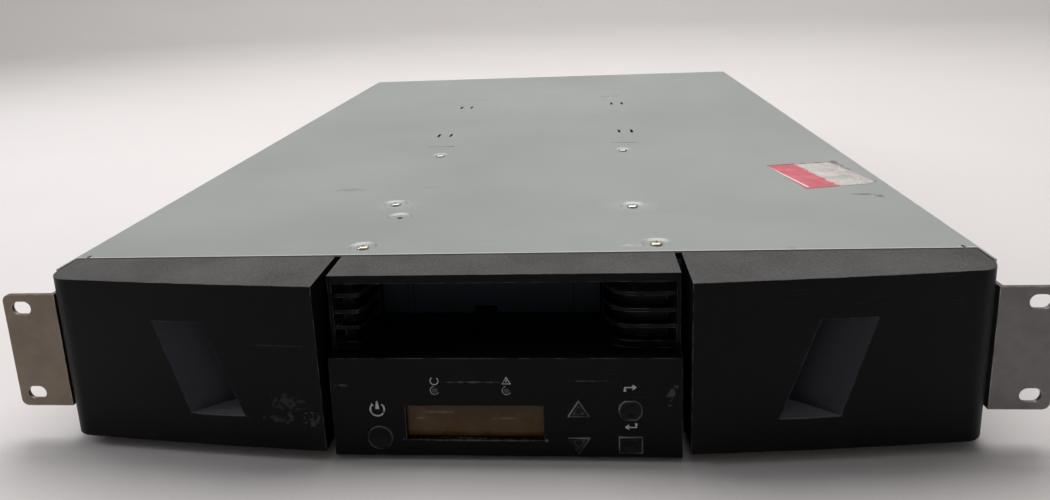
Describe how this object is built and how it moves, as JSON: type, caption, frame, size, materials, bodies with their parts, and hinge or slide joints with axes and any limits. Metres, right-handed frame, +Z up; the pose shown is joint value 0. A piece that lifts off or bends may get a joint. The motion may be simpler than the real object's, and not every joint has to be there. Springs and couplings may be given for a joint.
{
  "type": "data_tape_library",
  "caption": "Two-unit rack tape library: slotted ears, swept black front with drawer grips, open mail slot, display and buttons, picker between two cartridge magazines.",
  "frame": {"origin": "Centre of the footprint on the surface it stands on, under the whole part from the drawer fronts to the sled's pull lip", "axes": "+X to the part's own left side seen from behind, which is the right side seen from the front; +Y from the front to the rear; +Z up"},
  "size_m": [0.4826, 0.7004, 0.0865],
  "materials": {
    "cover_steel": "galvanised sheet with a grey-green chromate finish, satin, lightly scratched",
    "chassis_steel": "galvanised steel sheet, satin",
    "ear_steel": "zinc-plated steel, brushed, slightly tarnished",
    "screw_steel": "bright zinc-plated steel",
    "rail_plastic": "natural acetal, waxy",
    "front_plastic": "near-black moulding with a fine spark-eroded grain",
    "button_plastic": "near-black moulding, smooth satin",
    "slot_plastic": "black moulding, satin",
    "window_plastic": "smoked amber pane over an unlit display, glossy",
    "module_metal": "pressed tin-plated bezel",
    "board_laminate": "green glass laminate, semi-gloss",
    "lens_plastic": "clear acrylic, unlit",
    "tray_plastic": "dark grey moulding",
    "carrier_plastic": "mid grey moulding",
    "cartridge_plastic": "dark blue-grey moulding with a fine grain",
    "belt_rubber": "black toothed belt",
    "gear_plastic": "white acetal",
    "pinion_brass": "turned brass",
    "motor_steel": "plated motor cans",
    "deck_aluminium": "clear-anodised aluminium",
    "drive_metal": "grey aluminium case",
    "eject_plastic": "grey-blue moulding",
    "connector_metal": "nickel-plated shells"
  },
  "bodies": {
    "chassis": {"chassis_tray": "chassis_steel", "rear_panel": "chassis_steel", "top_cover": "cover_steel", "case_screws": "screw_steel", "left_rack_ear": "ear_steel", "right_rack_ear": "ear_steel", "left_bay_wall": "chassis_steel", "right_bay_wall": "chassis_steel", "magazine_rails": "rail_plastic", "centre_bezel": "front_plastic", "mail_slot_chute": "slot_plastic", "door_pin": "screw_steel", "display_window": "window_plastic", "display_module": "module_metal", "front_board": "board_laminate", "light_pipes": "lens_plastic", "left_magazine_motor": "motor_steel", "right_magazine_motor": "motor_steel", "picker_base": "chassis_steel", "picker_motor": "motor_steel", "drive_sled": "chassis_steel", "tape_drive": "drive_metal", "sled_fan_frame": "slot_plastic", "sled_thumbscrews": "screw_steel", "power_supply": "chassis_steel", "power_inlet": "button_plastic", "controller_board": "board_laminate", "rear_connectors": "connector_metal"},
    "mail_slot_door": {"mail_slot_door": "front_plastic"},
    "power_button": {"power_button": "button_plastic"},
    "up_button": {"up_button": "button_plastic"},
    "down_button": {"down_button": "button_plastic"},
    "escape_button": {"escape_button": "button_plastic"},
    "enter_button": {"enter_button": "button_plastic"},
    "left_magazine": {"left_magazine_bezel": "front_plastic", "left_magazine_tray": "tray_plastic", "left_carriers": "carrier_plastic", "left_cartridges": "cartridge_plastic", "left_belt": "belt_rubber"},
    "left_front_pulley": {"left_front_pulley": "gear_plastic"},
    "left_rear_pulley": {"left_rear_pulley": "gear_plastic"},
    "left_drive_pinion": {"left_drive_pinion": "pinion_brass"},
    "right_magazine": {"right_magazine_bezel": "front_plastic", "right_magazine_tray": "tray_plastic", "right_carriers": "carrier_plastic", "right_cartridges": "cartridge_plastic", "right_belt": "belt_rubber"},
    "right_front_pulley": {"right_front_pulley": "gear_plastic"},
    "right_rear_pulley": {"right_rear_pulley": "gear_plastic"},
    "right_drive_pinion": {"right_drive_pinion": "pinion_brass"},
    "turntable": {"turntable": "deck_aluminium", "picker_deck": "deck_aluminium", "gripper_motor": "motor_steel"},
    "picker_pinion": {"picker_pinion": "pinion_brass"},
    "gripper_carriage": {"gripper_carriage": "deck_aluminium"},
    "gripper_screw": {"gripper_screw": "screw_steel"},
    "drive_eject_button": {"drive_eject_button": "eject_plastic"},
    "sled_fan_rotor": {"sled_fan_rotor": "slot_plastic"},
    "psu_fan_rotor": {"psu_fan_rotor": "slot_plastic"},
    "power_switch": {"power_switch": "button_plastic"}
  },
  "joints": [
    {"name": "mail_slot_door_hinge", "type": "hinge", "parent": "chassis", "child": "mail_slot_door", "pos_m": [-0.0085, -0.3053, 0.0791], "axis": [1, 0, 0], "range_deg": [0, 85], "stiffness_Nm_per_rad": 0.002, "springref_deg": -17.19},
    {"name": "power_button_press", "type": "slide", "parent": "chassis", "child": "power_button", "axis": [0, 1, 0], "range_m": [0, 0.0008], "stiffness_N_per_m": 400, "springref_m": -0.0004},
    {"name": "up_button_press", "type": "slide", "parent": "chassis", "child": "up_button", "axis": [0, 1, 0], "range_m": [0, 0.0008], "stiffness_N_per_m": 400, "springref_m": -0.0004},
    {"name": "down_button_press", "type": "slide", "parent": "chassis", "child": "down_button", "axis": [0, 1, 0], "range_m": [0, 0.0008], "stiffness_N_per_m": 400, "springref_m": -0.0004},
    {"name": "escape_button_press", "type": "slide", "parent": "chassis", "child": "escape_button", "axis": [0, 1, 0], "range_m": [0, 0.0008], "stiffness_N_per_m": 400, "springref_m": -0.0004},
    {"name": "enter_button_press", "type": "slide", "parent": "chassis", "child": "enter_button", "axis": [0, 1, 0], "range_m": [0, 0.0008], "stiffness_N_per_m": 400, "springref_m": -0.0004},
    {"name": "left_magazine_slide", "type": "slide", "parent": "chassis", "child": "left_magazine", "axis": [0, -1, 0], "range_m": [0, 0.42]},
    {"name": "left_rear_pulley_spin", "type": "hinge", "parent": "left_magazine", "child": "left_rear_pulley", "pos_m": [-0.1939, 0.15221, 0.0305], "axis": [1, 0, 0], "continuous": true},
    {"name": "left_front_pulley_spin", "type": "hinge", "parent": "left_magazine", "child": "left_front_pulley", "pos_m": [-0.1939, -0.22181, 0.0305], "axis": [1, 0, 0], "continuous": true},
    {"name": "left_drive_pinion_spin", "type": "hinge", "parent": "chassis", "child": "left_drive_pinion", "pos_m": [-0.1939, 0.17156, 0.0305], "axis": [1, 0, 0], "continuous": true},
    {"name": "right_magazine_slide", "type": "slide", "parent": "chassis", "child": "right_magazine", "axis": [0, -1, 0], "range_m": [0, 0.42]},
    {"name": "right_rear_pulley_spin", "type": "hinge", "parent": "right_magazine", "child": "right_rear_pulley", "pos_m": [0.1939, 0.15221, 0.0305], "axis": [1, 0, 0], "continuous": true},
    {"name": "right_front_pulley_spin", "type": "hinge", "parent": "right_magazine", "child": "right_front_pulley", "pos_m": [0.1939, -0.22181, 0.0305], "axis": [1, 0, 0], "continuous": true},
    {"name": "right_drive_pinion_spin", "type": "hinge", "parent": "chassis", "child": "right_drive_pinion", "pos_m": [0.1939, 0.17156, 0.0305], "axis": [1, 0, 0], "continuous": true},
    {"name": "turntable_turn", "type": "hinge", "parent": "chassis", "child": "turntable", "pos_m": [0, -0.1998, 0.02], "axis": [0, 0, 1], "range_deg": [-90, 180]},
    {"name": "picker_pinion_spin", "type": "hinge", "parent": "chassis", "child": "picker_pinion", "pos_m": [-0.03193, -0.23173, 0.015], "axis": [0, 0, 1], "range_deg": [-720, 360]},
    {"name": "gripper_slide", "type": "slide", "parent": "turntable", "child": "gripper_carriage", "axis": [0, 1, 0], "range_m": [0, 0.103]},
    {"name": "gripper_screw_spin", "type": "hinge", "parent": "turntable", "child": "gripper_screw", "pos_m": [0.0085, -0.1998, 0.04595], "axis": [0, 1, 0], "range_deg": [0, 3710]},
    {"name": "drive_eject_press", "type": "slide", "parent": "chassis", "child": "drive_eject_button", "axis": [0, 1, 0], "range_m": [0, 0.0015], "stiffness_N_per_m": 300, "springref_m": -0.0005},
    {"name": "sled_fan_spin", "type": "hinge", "parent": "chassis", "child": "sled_fan_rotor", "pos_m": [0.034, 0.3272, 0.043], "axis": [0, 1, 0], "continuous": true},
    {"name": "psu_fan_spin", "type": "hinge", "parent": "chassis", "child": "psu_fan_rotor", "pos_m": [-0.118, 0.3262, 0.042], "axis": [0, 1, 0], "continuous": true},
    {"name": "power_switch_rock", "type": "hinge", "parent": "chassis", "child": "power_switch", "pos_m": [-0.182, 0.3362, 0.056], "axis": [1, 0, 0], "range_deg": [0, 16]}
  ],
  "couplings": [
    {"joint": "left_front_pulley_spin", "follows": "left_rear_pulley_spin", "ratio": 1},
    {"joint": "left_drive_pinion_spin", "follows": "left_rear_pulley_spin", "ratio": -2},
    {"joint": "right_front_pulley_spin", "follows": "right_rear_pulley_spin", "ratio": 1},
    {"joint": "right_drive_pinion_spin", "follows": "right_rear_pulley_spin", "ratio": -2},
    {"joint": "picker_pinion_spin", "follows": "turntable_turn", "ratio": -4},
    {"joint": "gripper_screw_spin", "follows": "gripper_slide", "rad_per_m": 628.32}
  ]
}
